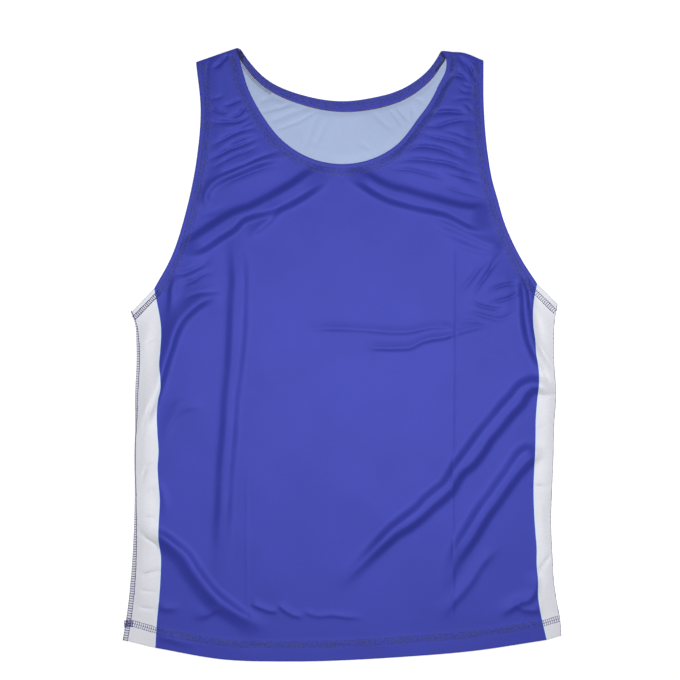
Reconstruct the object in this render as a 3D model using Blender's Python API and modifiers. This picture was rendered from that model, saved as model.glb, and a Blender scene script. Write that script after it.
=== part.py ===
"""A boxing singlet laid flat: a front panel lying on a back panel, with the back neck's turned hem.

Metres. X runs across the garment and +Y from the bottom hem to the shoulders. +Z is up, out of the surface
that the back panel lies on. The origin is under the middle of the garment's box.
"""

from collections import namedtuple

import bmesh
import bpy
import numpy as np
from mathutils import Vector
from mathutils.geometry import delaunay_2d_cdt
from mathutils.kdtree import KDTree

# Driving dimensions: the garment's half width at the hem and half its length set the two box sizes.
HALF_HEM_WIDTH = 0.258
HALF_LENGTH = 0.3604
CLOTH = 0.001  # thickness of one layer
LAYER_GAP = 0.0003  # between layers, and between pieces at a seam
BACK_NECK_HEM_WIDTH = 0.0115
MERGE_WITHIN = 1e-5  # points of a panel nearer than this are one

# How closely the panels are divided
EDGE_STEP = 0.0125  # between points along an outline
BORDER_STEP = 0.011  # along the line between blue and white
FOLD_STEP = 0.0095  # along a fold
OPEN_STEP = 0.025  # between points of the open cloth
BACK_STEP = 0.030  # the same on the back panel, which lies flat
ACROSS_FOLD = (-1.0, -0.62, -0.3, 0.0, 0.3, 0.62, 1.0)  # of a fold's half width
FOLD_CLEAR = 0.0018  # from a fold's points to the outline, and to those of another fold
OPEN_CLEAR = 0.009  # from a point of the open cloth to any other
CREST_READ = 0.0008  # between the places along a line that a distance is measured from
SPAN_POINTS = 24  # on a smooth curve, from one row of its table to the next
FOLD_END = 0.18  # the share of a fold's length over which each end dies away
FOLD_END_HEIGHT = 0.25  # the share of its height that is left at its very end

BLUE = (0.068, 0.082, 0.456, 1.0)
WHITE = (0.70, 0.70, 0.76, 1.0)
PALE_INSIDE = (0.38, 0.46, 0.68, 1.0)
CLOTH_ROUGHNESS = 0.75

# Each stretch of the outline is one smooth curve through its rows of x and y. The left is the photo's left.
LEFT_SIDE = (  # from the hem up to the armpit
    (-HALF_HEM_WIDTH, -0.336),
    (-0.2535, -0.309),
    (-0.2460, -0.254),
    (-0.2430, -0.183),
    (-0.2435, -0.076),
    (-0.2395, -0.009),
    (-0.2440, 0.038),
    (-0.2483, 0.049),
)
LEFT_ARMHOLE_IN_WHITE = (
    (-0.2483, 0.049),
    (-0.2209, 0.0772),
)
LEFT_ARMHOLE = (
    (-0.2209, 0.0772),
    (-0.2018, 0.112),
    (-0.1830, 0.170),
    (-0.1705, 0.233),
    (-0.1663, 0.287),
    (-0.1718, 0.343),
)
LEFT_SHOULDER = (
    (-0.1718, 0.343),
    (-0.1228, HALF_LENGTH),
)
LEFT_NECK_CORNER = (
    (-0.1228, HALF_LENGTH),
    (-0.1189, 0.358),
)
FRONT_NECK = (  # from the left shoulder to the right
    (-0.1189, 0.358),
    (-0.1205, 0.345),
    (-0.1078, 0.306),
    (-0.0754, 0.2555),
    (-0.0401, 0.2315),
    (-0.0020, 0.2235),
    (0.0388, 0.2308),
    (0.0804, 0.2652),
    (0.1115, 0.3138),
    (0.1232, 0.345),
    (0.1188, 0.3555),
)
BACK_NECK = (
    (-0.1189, 0.358),
    (-0.1078, 0.341),
    (-0.0906, 0.3232),
    (-0.0401, 0.3017),
    (0.0, 0.2975),
    (0.0399, 0.3023),
    (0.0979, 0.3287),
    (0.1115, 0.3437),
    (0.1188, 0.3555),
)
RIGHT_SHOULDER = (
    (0.1188, 0.3555),
    (0.1399, 0.355),
    (0.1662, 0.345),
)
RIGHT_ARMHOLE = (
    (0.1662, 0.345),
    (0.1665, 0.287),
    (0.1722, 0.233),
    (0.1858, 0.170),
    (0.2070, 0.1225),
    (0.2296, 0.0828),
)
RIGHT_ARMHOLE_IN_WHITE = (
    (0.2296, 0.0828),
    (0.2538, 0.059),
)
RIGHT_SIDE = (  # from the armpit down to the hem
    (0.2538, 0.059),
    (0.2512, 0.045),
    (0.2494, -0.002),
    (0.2517, -0.049),
    (0.2460, -0.170),
    (0.2470, -0.230),
    (0.2541, -0.294),
    (HALF_HEM_WIDTH, -0.331),
)
HEM_RIGHT_WHITE = (
    (HALF_HEM_WIDTH, -0.331),
    (0.2407, -0.3363),
)
HEM_BLUE = (
    (0.2407, -0.3363),
    (0.1552, -0.350),
    (0.0682, -0.3565),
    (-0.0600, -HALF_LENGTH),
    (-0.1400, -0.3588),
    (-0.2186, -0.3458),
)
HEM_LEFT_WHITE = (
    (-0.2186, -0.3458),
    (-HALF_HEM_WIDTH, -0.336),
)
LEFT_BORDER = (  # between blue and white, from the armhole to the hem
    (-0.2209, 0.0772),
    (-0.2126, 0.0249),
    (-0.2179, -0.0739),
    (-0.2144, -0.1598),
    (-0.2186, -0.3458),
)
RIGHT_BORDER = (
    (0.2296, 0.0828),
    (0.2245, 0.0472),
    (0.2317, -0.0257),
    (0.2255, -0.1516),
    (0.2302, -0.2622),
    (0.2407, -0.3363),
)

# The front panel's ridges: the whole width and the height of each, and its crest's path.
Fold = namedtuple("Fold", "name width height path")
FOLDS = (
    Fold("left chest", 0.022, 0.0050,
         ((-0.190, 0.118), (-0.158, 0.138), (-0.110, 0.166), (-0.062, 0.185), (-0.022, 0.208))),
    Fold("left armhole", 0.016, 0.0036,
         ((-0.166, 0.186), (-0.142, 0.207), (-0.094, 0.226), (-0.058, 0.231))),
    Fold("left strap low", 0.015, 0.0030,
         ((-0.162, 0.208), (-0.134, 0.227), (-0.078, 0.242))),
    Fold("left strap middle", 0.014, 0.0026,
         ((-0.156, 0.238), (-0.130, 0.255), (-0.094, 0.270))),
    Fold("left strap high", 0.013, 0.0020,
         ((-0.156, 0.283), (-0.134, 0.279), (-0.110, 0.284))),
    Fold("left shoulder", 0.015, 0.0022,
         ((-0.165, 0.322), (-0.146, 0.333), (-0.124, 0.345))),
    Fold("left armpit", 0.019, 0.0042,
         ((-0.152, 0.073), (-0.179, 0.058), (-0.200, 0.034), (-0.210, -0.007), (-0.222, -0.062))),
    Fold("left long", 0.024, 0.0034,
         ((-0.119, 0.132), (-0.122, 0.055), (-0.128, -0.034), (-0.136, -0.125), (-0.142, -0.262))),
    Fold("left hem", 0.024, 0.0062,
         ((-0.216, -0.204), (-0.191, -0.225), (-0.167, -0.256), (-0.138, -0.289), (-0.104, -0.318))),
    Fold("left waist", 0.016, 0.0018,
         ((-0.214, -0.118), (-0.205, -0.086), (-0.176, -0.058))),
    Fold("right chest", 0.021, 0.0048,
         ((0.016, 0.211), (0.045, 0.1955), (0.093, 0.179), (0.141, 0.168), (0.178, 0.157))),
    Fold("right armhole", 0.016, 0.0032,
         ((0.066, 0.234), (0.094, 0.236), (0.139, 0.224), (0.164, 0.213))),
    Fold("right strap low", 0.014, 0.0034,
         ((0.088, 0.251), (0.111, 0.249), (0.156, 0.234))),
    Fold("right strap middle", 0.013, 0.0024,
         ((0.102, 0.266), (0.125, 0.2665), (0.158, 0.263))),
    Fold("right strap high", 0.014, 0.0030,
         ((0.110, 0.284), (0.124, 0.283), (0.152, 0.287))),
    Fold("right shoulder", 0.018, 0.0034,
         ((0.124, 0.322), (0.138, 0.316), (0.155, 0.324))),
    Fold("right side chest", 0.015, 0.0024,
         ((0.104, 0.150), (0.134, 0.137), (0.188, 0.119))),
    Fold("right armpit", 0.015, 0.0034,
         ((0.212, 0.076), (0.216, 0.038), (0.228, -0.006))),
    Fold("right waist", 0.022, 0.0054,
         ((0.234, -0.031), (0.188, -0.080), (0.145, -0.136), (0.088, -0.195), (-0.005, -0.278))),
    Fold("right hip", 0.020, 0.0050,
         ((0.226, -0.116), (0.195, -0.153), (0.155, -0.215), (0.118, -0.276))),
    Fold("right hem", 0.017, 0.0022,
         ((0.182, -0.226), (0.158, -0.258), (0.118, -0.312))),
)


def smooth_curve(rows, step):
    """Points about step apart on one smooth curve through the rows, with both ends."""
    knots = np.array(rows, float)
    if len(knots) > 2:
        ends = [2 * knots[0] - knots[1]], [2 * knots[-1] - knots[-2]]
        p = np.concatenate([ends[0], knots, ends[1]])
        t = np.linspace(0, 1, SPAN_POINTS, endpoint=False)[:, None]
        spans = []
        for a, b, c, d in zip(p, p[1:], p[2:], p[3:]):
            near, far = np.linalg.norm(c - b), np.linalg.norm(d - c)
            before = np.linalg.norm(b - a)
            start = near * ((b - a) * near / before + (c - b) * before / near) / (before + near)
            finish = near * ((c - b) * far / near + (d - c) * near / far) / (near + far)
            spans.append(
                (2 * t**3 - 3 * t**2 + 1) * b
                + (t**3 - 2 * t**2 + t) * start
                + (3 * t**2 - 2 * t**3) * c
                + (t**3 - t**2) * finish
            )
        knots = np.concatenate([*spans, knots[-1:]])
    along = np.concatenate([[0], np.cumsum(np.linalg.norm(np.diff(knots, axis=0), axis=1))])
    at = np.linspace(0, along[-1], max(2, round(along[-1] / step) + 1))
    return np.stack([np.interp(at, along, knots[:, k]) for k in (0, 1)], axis=1)


def sideways(path):
    """Unit vectors across a path, on its left."""
    ahead = np.gradient(path, axis=0)
    ahead /= np.linalg.norm(ahead, axis=1)[:, None]
    return np.stack([-ahead[:, 1], ahead[:, 0]], axis=1)


def outline(neck):
    """The panel's ring of points, clockwise from the hem's left corner, with the given neck."""
    stretches = (
        LEFT_SIDE,
        LEFT_ARMHOLE_IN_WHITE,
        LEFT_ARMHOLE,
        LEFT_SHOULDER,
        LEFT_NECK_CORNER,
        neck,
        RIGHT_SHOULDER,
        RIGHT_ARMHOLE,
        RIGHT_ARMHOLE_IN_WHITE,
        RIGHT_SIDE,
        HEM_RIGHT_WHITE,
        HEM_BLUE,
        HEM_LEFT_WHITE,
    )
    return np.concatenate([smooth_curve(rows, EDGE_STEP)[:-1] for rows in stretches])


def inside(points, ring):
    """Which of the points lie within the ring."""
    x, y = points[:, :1], points[:, 1:]
    x0, y0 = ring.T
    x1, y1 = np.roll(ring, -1, axis=0).T
    crosses = (y0 > y) != (y1 > y)
    rise = np.where(y1 == y0, 1, y1 - y0)
    return (crosses & (x < x0 + (y - y0) * (x1 - x0) / rise)).sum(axis=1) % 2 == 1


def clear_of(points, others, distance):
    """Those of the points that are at least the distance from every one of the others and from each other."""
    tree = KDTree(len(others) + len(points))
    kept = []
    for p in others:
        tree.insert((p[0], p[1], 0), 0)
    tree.balance()
    for p in points:
        near_other = tree.find((p[0], p[1], 0))[2]
        if near_other is not None and near_other < distance:
            continue
        if kept and np.min(np.linalg.norm(np.array(kept) - p, axis=1)) < distance:
            continue
        kept.append(p)
    return np.array(kept).reshape(-1, 2)


def open_cloth_points(step):
    """Staggered rows of points over the garment's box."""
    rise = step * np.sqrt(3) / 2
    rows = []
    for k, y in enumerate(np.arange(-HALF_LENGTH, HALF_LENGTH, rise)):
        x = np.arange(-HALF_HEM_WIDTH, HALF_HEM_WIDTH, step) + step / 2 * (k % 2)
        rows.append(np.stack([x, np.full(len(x), y)], axis=1))
    return np.concatenate(rows)


def fold_points():
    """Points along each fold, in rows from foot to foot."""
    found = []
    for fold in FOLDS:
        path = smooth_curve(fold.path, FOLD_STEP)
        across = sideways(path)
        for share in ACROSS_FOLD:
            found.append(path + across * share * fold.width / 2)
    return np.concatenate(found)


def fold_height(points):
    """How far the folds lift the cloth at each point: each is a cosine ridge that dies away at its ends."""
    lift = np.zeros(len(points))
    for fold in FOLDS:
        path = smooth_curve(fold.path, CREST_READ)
        apart = np.linalg.norm(points[:, None] - path, axis=2)
        along = apart.argmin(axis=1) / (len(path) - 1)
        across = np.clip(apart.min(axis=1) / (fold.width / 2), 0, 1)
        end = np.clip(np.minimum(along, 1 - along) / FOLD_END, 0, 1)
        strength = FOLD_END_HEIGHT + (1 - FOLD_END_HEIGHT) * np.sin(end * np.pi / 2)
        lift += fold.height * strength * (1 + np.cos(np.pi * across)) / 2
    return lift


def panel_mesh(name, ring, borders, inner_points):
    """A flat mesh inside the ring, in the XY plane, divided along the borders and through the inner points."""
    points = [Vector(p) for p in ring]
    edges = [(k, (k + 1) % len(ring)) for k in range(len(ring))]
    for border in borders:
        first = len(points)
        points += [Vector(p) for p in border]
        edges += [(first + k, first + k + 1) for k in range(len(border) - 1)]
    points += [Vector(p) for p in inner_points]
    triangles_inside = 1
    found, _, faces, *_ = delaunay_2d_cdt(points, edges, [], triangles_inside, MERGE_WITHIN)
    mesh = bpy.data.meshes.new(name)
    mesh.from_pydata([(p.x, p.y, 0) for p in found], [], faces)
    return mesh


def turn(mesh, up):
    """Points every face of a level mesh up or down."""
    shape = bmesh.new()
    shape.from_mesh(mesh)
    for face in shape.faces:
        face.normal_update()
        if (face.normal.z > 0) != up:
            face.normal_flip()
    shape.to_mesh(mesh)
    shape.free()


def lift_points(mesh, heights):
    for vertex, height in zip(mesh.vertices, heights):
        vertex.co.z = height
    mesh.update()


def flat_points(mesh):
    return np.array([vertex.co[:2] for vertex in mesh.vertices])


def colour_bands(mesh):
    """Gives the faces outside the two borders the panel's second material."""
    left, right = (smooth_curve(rows[::-1], BORDER_STEP).T for rows in (LEFT_BORDER, RIGHT_BORDER))
    for face in mesh.polygons:
        x, y = face.center[:2]
        face.material_index = int(not np.interp(y, left[1], left[0]) < x < np.interp(y, right[1], right[0]))


def cloth_material(name, colour):
    material = bpy.data.materials.new(name)
    material.use_nodes = True
    shader = material.node_tree.nodes["Principled BSDF"]
    shader.inputs["Base Color"].default_value = colour
    shader.inputs["Roughness"].default_value = CLOTH_ROUGHNESS
    shader.inputs["Metallic"].default_value = 0.0
    return material


def cloth_object(name, mesh, materials, outward, inner_slot):
    """One layer of cloth: the mesh and a wall on it, above it if outward and otherwise behind it."""
    piece = bpy.data.objects.new(name, mesh)
    garment.objects.link(piece)
    for material in materials:
        mesh.materials.append(material)
    mesh.shade_smooth()
    wall = piece.modifiers.new("wall", "SOLIDIFY")
    wall.thickness = CLOTH
    wall.offset = 1 if outward else -1
    wall.use_even_offset = True
    wall.material_offset = inner_slot
    return piece


def border_lines():
    return [smooth_curve(rows, BORDER_STEP) for rows in (LEFT_BORDER, RIGHT_BORDER)]


def edge_points(ring, borders):
    """The ring's and the borders' points, close enough together to keep others clear of the lines."""
    return np.concatenate([smooth_curve(np.append(ring, ring[:1], axis=0), FOLD_CLEAR), *borders])


def make_front_panel():
    ring = outline(FRONT_NECK)
    borders = border_lines()
    lines = edge_points(ring, borders)
    folds = fold_points()
    folds = clear_of(folds[inside(folds, ring)], lines, FOLD_CLEAR)
    cloth = open_cloth_points(OPEN_STEP)
    cloth = clear_of(cloth[inside(cloth, ring)], np.concatenate([lines, folds]), OPEN_CLEAR)
    mesh = panel_mesh("front_panel", ring, borders, np.concatenate([folds, cloth]))
    turn(mesh, up=True)
    lift_points(mesh, CLOTH + LAYER_GAP + fold_height(flat_points(mesh)))
    materials = [
        cloth_material("front_blue", BLUE),
        cloth_material("front_white", WHITE),
        cloth_material("front_inside", PALE_INSIDE),
    ]
    piece = cloth_object("front_panel", mesh, materials, outward=True, inner_slot=2)
    colour_bands(mesh)
    return piece


def make_back_panel():
    ring = outline(BACK_NECK)
    borders = border_lines()
    lines = edge_points(ring, borders)
    cloth = open_cloth_points(BACK_STEP)
    cloth = clear_of(cloth[inside(cloth, ring)], lines, OPEN_CLEAR)
    mesh = panel_mesh("back_panel", ring, borders, cloth)
    turn(mesh, up=False)
    materials = [
        cloth_material("back_blue", BLUE),
        cloth_material("back_white", WHITE),
        cloth_material("back_inside", PALE_INSIDE),
    ]
    piece = cloth_object("back_panel", mesh, materials, outward=False, inner_slot=2)
    colour_bands(mesh)
    return piece


def make_back_neck_hem():
    """The back neck's turned edge on the panel's inner side: the neck's own curve, moved in and up."""
    edge = smooth_curve(BACK_NECK, EDGE_STEP / 2)
    inward = -sideways(edge) * BACK_NECK_HEM_WIDTH
    lines = [edge + inward * share for share in (0, 0.5, 1)]
    front_ring = outline(FRONT_NECK)
    front_neck = smooth_curve(FRONT_NECK, CREST_READ)
    free = np.ones(len(edge), bool)
    for line in lines:
        to_front = np.linalg.norm(line[:, None] - front_neck, axis=2).min(axis=1)
        free &= ~inside(line, front_ring) & (to_front > 2 * LAYER_GAP)
    shape = bmesh.new()
    rows = [[shape.verts.new((x, y, 0)) for x, y in line[free]] for line in lines]
    for upper, lower in zip(rows, rows[1:]):
        for k in range(len(upper) - 1):
            shape.faces.new((upper[k], lower[k], lower[k + 1], upper[k + 1]))
    mesh = bpy.data.meshes.new("back_neck_hem")
    shape.to_mesh(mesh)
    shape.free()
    turn(mesh, up=True)
    lift_points(mesh, np.full(len(mesh.vertices), CLOTH + LAYER_GAP))
    return cloth_object("back_neck_hem", mesh, [cloth_material("hem_blue", BLUE)], outward=True, inner_slot=0)


for old in list(bpy.data.objects):
    bpy.data.objects.remove(old, do_unlink=True)
garment = bpy.data.collections.new("boxing_singlet")
bpy.context.scene.collection.children.link(garment)
make_back_panel()
make_back_neck_hem()
make_front_panel()
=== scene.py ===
import bpy
import numpy as np
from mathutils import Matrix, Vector
from mathutils.geometry import delaunay_2d_cdt


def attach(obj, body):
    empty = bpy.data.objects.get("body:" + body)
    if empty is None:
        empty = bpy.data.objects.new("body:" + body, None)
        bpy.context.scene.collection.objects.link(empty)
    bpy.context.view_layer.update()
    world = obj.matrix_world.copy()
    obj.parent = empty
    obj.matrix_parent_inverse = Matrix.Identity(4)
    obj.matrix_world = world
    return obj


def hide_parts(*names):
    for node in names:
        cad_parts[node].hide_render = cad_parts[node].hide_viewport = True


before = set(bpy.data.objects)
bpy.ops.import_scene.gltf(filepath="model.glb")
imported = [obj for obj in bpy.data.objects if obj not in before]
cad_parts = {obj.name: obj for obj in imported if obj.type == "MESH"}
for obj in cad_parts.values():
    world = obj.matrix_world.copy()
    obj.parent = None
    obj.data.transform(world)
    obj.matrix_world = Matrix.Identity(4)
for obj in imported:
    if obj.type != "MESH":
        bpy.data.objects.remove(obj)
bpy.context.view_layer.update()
print("frame loaded:", sorted(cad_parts))

mm = 0.001  # the tables below are in millimetres, as a maker's pattern is


class NodeTree:  # short ways to add and join nodes
    def __init__(self, tree):
        self.tree = tree

    def add(self, kind, inputs=(), **settings):
        node = self.tree.nodes.new(kind)
        for key, value in settings.items():
            setattr(node, key, value)
        for key, value in dict(inputs).items():
            self.put(node.inputs[key], value)
        return node

    def put(self, socket, value):
        if isinstance(value, bpy.types.NodeSocket):
            self.tree.links.new(value, socket)
        else:
            socket.default_value = value

    def maths(self, operation, *values):
        node = self.add("ShaderNodeMath", operation=operation)
        for socket, value in zip(node.inputs, values):
            self.put(socket, value)
        return node.outputs[0]

    def blend(self, share, a, b):
        node = self.add("ShaderNodeMix", {"Factor": share, "A": a, "B": b}, data_type="RGBA")
        return node.outputs["Result"]

    def spread(self, value, low, high, toLow=0.0, toHigh=1.0):
        node = self.add("ShaderNodeMapRange", interpolation_type="SMOOTHSTEP")
        for key, number in (("Value", value), ("From Min", low), ("From Max", high),
                            ("To Min", toLow), ("To Max", toHigh)):
            self.put(node.inputs[key], number)
        return node.outputs["Result"]


def linkObject(name, data):  # a new object in the scene
    made = bpy.data.objects.new(name, data)
    bpy.context.scene.collection.objects.link(made)
    return made


def startMaterial(name, settings):  # a new material with its shader's settings, its node tree and the shader
    material = bpy.data.materials.new(name)
    material.use_nodes = True
    shader = material.node_tree.nodes["Principled BSDF"]
    for socket, value in settings.items():
        shader.inputs[socket].default_value = value
    return material, NodeTree(material.node_tree), shader


# camera, light and floor

studio = {
    "lookAt": (-2.4, 16.6, 2.3),
    "cameraHeight": 4000,  # above the point it looks at
    "lens": 180,
    "sensorWidth": 36,
    "farthestSeen": 20000,
    "skyGlow": 0.36,  # straight up
    "horizonGlow": 0.1,
    "keyPlace": (900, 2100, 2600),
    "keyWidth": 1300,
    "keyPower": 10,
    "overheadPlace": (30, -10, 1000),
    "overheadWidth": 600,
    "overheadPower": 7.2,
    "floorHalf": 4000,
    "floorShade": 0.92,
    "floorRoughness": 0.9,
    "floorGlow": 0.4,
    "floorDrop": 0.2,  # below the garment
}


def areaLight(name, place, width, power):
    lamp = bpy.data.lights.new(name, "AREA")
    lamp.energy = power
    lamp.size = width * mm
    lampObject = linkObject(name, lamp)
    lampObject.location = Vector(place) * mm
    towards = Vector(studio["lookAt"]) - Vector(place)
    lampObject.rotation_euler = towards.to_track_quat("-Z", "Y").to_euler()
    return lampObject


def makeAir():  # soft light from all round, strongest from straight above
    world = bpy.data.worlds.new("studioAir")
    world.use_nodes = True
    air = NodeTree(world.node_tree)
    direction = air.add("ShaderNodeTexCoord").outputs["Generated"]
    height = air.add("ShaderNodeSeparateXYZ", {"Vector": direction}).outputs["Z"]
    glow = world.node_tree.nodes["Background"]
    glow.inputs["Color"].default_value = (1, 1, 1, 1)
    strength = air.spread(height, 0.0, 1.0, studio["horizonGlow"], studio["skyGlow"])
    air.put(glow.inputs["Strength"], strength)
    bpy.context.scene.world = world


def makeLamps():
    areaLight("keyLight", studio["keyPlace"], studio["keyWidth"], studio["keyPower"])
    overhead = areaLight("overheadLight", studio["overheadPlace"], studio["overheadWidth"],
                         studio["overheadPower"])
    overhead.visible_camera = False  # it hangs between the camera and the garment


def makeCamera():  # straight above the garment
    lens = bpy.data.cameras.new("photoCamera")
    lens.lens = studio["lens"]
    lens.sensor_width = studio["sensorWidth"]
    lens.clip_end = studio["farthestSeen"] * mm
    camera = linkObject("photoCamera", lens)
    x, y, z = studio["lookAt"]
    camera.location = Vector((x, y, z + studio["cameraHeight"])) * mm
    bpy.context.scene.camera = camera


def makeFloor():
    half = studio["floorHalf"] * mm
    shade = studio["floorShade"]
    mesh = bpy.data.meshes.new("studioFloor")
    corners = [(-half, -half, 0), (half, -half, 0), (half, half, 0), (-half, half, 0)]
    mesh.from_pydata(corners, [], [(0, 1, 2, 3)])
    paper, _, _ = startMaterial("studioPaper", {
        "Base Color": (shade, shade, shade, 1),
        "Roughness": studio["floorRoughness"],
        "Emission Color": (1, 1, 1, 1),
        "Emission Strength": studio["floorGlow"],
    })
    mesh.materials.append(paper)
    floor = linkObject("studioFloor", mesh)
    floor.location.z = -studio["floorDrop"] * mm


bpy.context.scene.view_settings.view_transform = "Standard"
makeAir()
makeLamps()
makeCamera()
makeFloor()
print("studio ready")

# the paper pattern: each stretch of the outline is one smooth curve, left is the photo's left

pattern = {
    "leftSide": ((-258, -336), (-253.5, -309), (-247.7, -254), (-245, -207), (-244, -172),
                 (-244.3, -115), (-243.4, -76), (-243.8, -55), (-243, -34), (-241.8, -11), (-241.9, 10),
                 (-244.2, 38), (-248.3, 49)),
    "leftArmholeWhite": ((-248.3, 49), (-220.9, 77.2)),
    "leftArmhole": ((-220.9, 77.2), (-201.8, 112), (-183, 170), (-170.5, 233), (-166.3, 287),
                    (-171.8, 343.6)),
    "leftShoulder": ((-171.8, 343.6), (-122.8, 360.4)),
    "leftNeckCorner": ((-122.8, 360.4), (-118.9, 358)),
    "frontNeck": ((-118.9, 358), (-119.9, 345), (-116.6, 332), (-110.7, 313), (-101.6, 294),
                  (-90.2, 275.5), (-75.7, 256.7), (-52, 237.8), (-30, 228), (-2, 223.5), (31.2, 228.2),
                  (52.4, 237.7), (65.6, 247.2), (74.5, 256.7), (88.3, 275.5), (102.3, 294.5), (110, 308.5),
                  (113.2, 315.5), (117.3, 323), (121, 330.5), (122.8, 338), (122.8, 346), (115.4, 355.2)),
    "backNeck": ((-118.9, 358), (-107.8, 342.5), (-90.6, 324.9), (-40.1, 303.1), (0, 297.6),
                 (39.9, 302.5), (59, 307.4), (73, 313.2), (87, 321.8), (101, 333.9), (109.6, 345),
                 (113.6, 351.6), (115.4, 355.2)),
    "rightShoulder": ((115.4, 355.2), (117.6, 356.8), (121, 356.7), (129, 355.5), (139.9, 355),
                      (166.4, 345.6)),
    "rightArmhole": ((166.4, 345.6), (166.9, 287), (172.4, 228.4), (176.6, 205), (183.2, 181.4),
                     (189.9, 157.8), (199.4, 134.3), (211.5, 110.8), (229.6, 82.8)),
    "rightArmholeWhite": ((229.6, 82.8), (253.8, 59)),
    "rightSide": ((253.8, 59), (251.2, 45), (249.4, -2), (252, -52), (250, -78), (248.7, -124),
                  (246.8, -168), (246, -195), (247.9, -242), (249.2, -266), (252.4, -289), (256.8, -313),
                  (258, -331)),
    "hemRightWhite": ((258, -331), (240.7, -336.3)),
    "hemBlue": ((240.7, -336.3), (155.2, -349.1), (68.2, -356.4), (-60, -361.6), (-140, -359.2),
                (-219.6, -345.6)),
    "hemLeftWhite": ((-219.6, -345.6), (-258, -336)),
    # the edges of the print, which waver where folds cross them
    "leftBorder": ((-220.9, 77.2), (-212.7, 26), (-213.9, 2.5), (-215, -11.5), (-213.7, -28),
                   (-213.5, -40), (-216.4, -54), (-217.9, -68), (-217.3, -92), (-215.9, -115), (-217, -133),
                   (-216.1, -150), (-214.6, -167), (-216, -209), (-215.8, -220), (-213.1, -238),
                   (-213.3, -256), (-215, -285), (-217.7, -313), (-219.6, -345.6)),
    "rightBorder": ((229.6, 82.8), (225.8, 64), (224.6, 50), (225, 33), (227.2, 17), (228.6, -2),
                    (230.4, -11.5), (231.7, -23), (231.1, -40), (229.2, -59), (227.9, -78), (227.6, -101),
                    (226.2, -134), (225.4, -153), (226.2, -190), (227.5, -209), (229, -228), (229, -247),
                    (230.6, -268), (230.6, -284), (232.5, -299), (236.3, -317), (240.7, -336.3)),
}


def lengthAlong(line):  # the distance along a line to each of its points
    return np.concatenate([[0], np.cumsum(np.linalg.norm(np.diff(line[:, :2], axis=0), axis=1))])


def smoothCurve(rows, step):  # points about step apart on one smooth curve; columns past x, y ride along
    knots = np.array(rows, float)
    if len(knots) > 2:
        p = np.concatenate([[2 * knots[0] - knots[1]], knots, [2 * knots[-1] - knots[-2]]])
        stepsInSpan = 24
        t = np.linspace(0, 1, stepsInSpan, endpoint=False)[:, None]
        spans = []
        for a, b, c, d in zip(p, p[1:], p[2:], p[3:]):
            before, near, far = (np.linalg.norm(v[:2]) for v in (b - a, c - b, d - c))
            start = near * ((b - a) * near / before + (c - b) * before / near) / (before + near)
            finish = near * ((c - b) * far / near + (d - c) * near / far) / (near + far)
            spans.append((2 * t**3 - 3 * t**2 + 1) * b + (t**3 - 2 * t**2 + t) * start
                         + (3 * t**2 - 2 * t**3) * c + (t**3 - t**2) * finish)
        knots = np.concatenate([*spans, knots[-1:]])
    along = lengthAlong(knots)
    at = np.linspace(0, along[-1], max(2, round(along[-1] / step) + 1))
    return np.stack([np.interp(at, along, column) for column in knots.T], axis=1)


def joined(names, step):  # several stretches of the pattern as one line
    parts = [smoothCurve(pattern[name], step) for name in names]
    return np.concatenate([part[:-1] for part in parts[:-1]] + [parts[-1]])


def outlineOf(neck, step):  # the whole ring, clockwise from the hem's left corner
    ring = joined(["leftSide", "leftArmholeWhite", "leftArmhole", "leftShoulder", "leftNeckCorner", neck,
                   "rightShoulder", "rightArmhole", "rightArmholeWhite", "rightSide", "hemRightWhite",
                   "hemBlue", "hemLeftWhite"], step)
    return ring[:-1]


def closedRing(ring):
    return np.concatenate([ring, ring[:1]])


def leftOf(line):  # unit vectors to the left of a line
    ahead = np.gradient(line, axis=0)
    ahead /= np.linalg.norm(ahead, axis=1)[:, None]
    return np.stack([-ahead[:, 1], ahead[:, 0]], axis=1)


def inTurns(points):  # a few thousand points at once, which keeps the arrays small
    return np.array_split(points, max(1, len(points) // 3000))


def measureFrom(points, line):
    # for each point: the distance to the line, the signed distance (+ left) and the place along the line
    line = line[:, :2]
    left = leftOf(line)
    ahead = np.stack([left[:, 1], -left[:, 0]], axis=1)
    along = lengthAlong(line)
    found = []
    for some in inTurns(points):
        k = ((some[:, None, 0] - line[:, 0]) ** 2 + (some[:, None, 1] - line[:, 1]) ** 2).argmin(axis=1)
        offset = some - line[k]
        side = (offset * left[k]).sum(axis=1)
        on = (offset * ahead[k]).sum(axis=1)
        past = np.where(((k == 0) & (on < 0)) | ((k == len(line) - 1) & (on > 0)), on, 0)
        found.append(np.stack([np.hypot(side, past), side, along[k] + on], axis=1))
    return np.concatenate(found).T


def insideOf(points, ring):
    found = []
    x0, y0 = ring.T
    x1, y1 = np.roll(ring, -1, axis=0).T
    rise = np.where(y1 == y0, 1, y1 - y0)
    for some in inTurns(points):
        x, y = some[:, :1], some[:, 1:]
        crosses = (y0 > y) != (y1 > y)
        found.append((crosses & (x < x0 + (y - y0) * (x1 - x0) / rise)).sum(axis=1) % 2 == 1)
    return np.concatenate(found)


def hexPoints(step, box):  # staggered rows of points over a box
    (x0, y0), (x1, y1) = box
    rows = []
    for k, y in enumerate(np.arange(y0, y1, step * np.sqrt(3) / 2)):
        x = np.arange(x0, x1, step) + step / 2 * (k % 2)
        rows.append(np.stack([x, np.full(len(x), y)], axis=1))
    return np.concatenate(rows)


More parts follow.
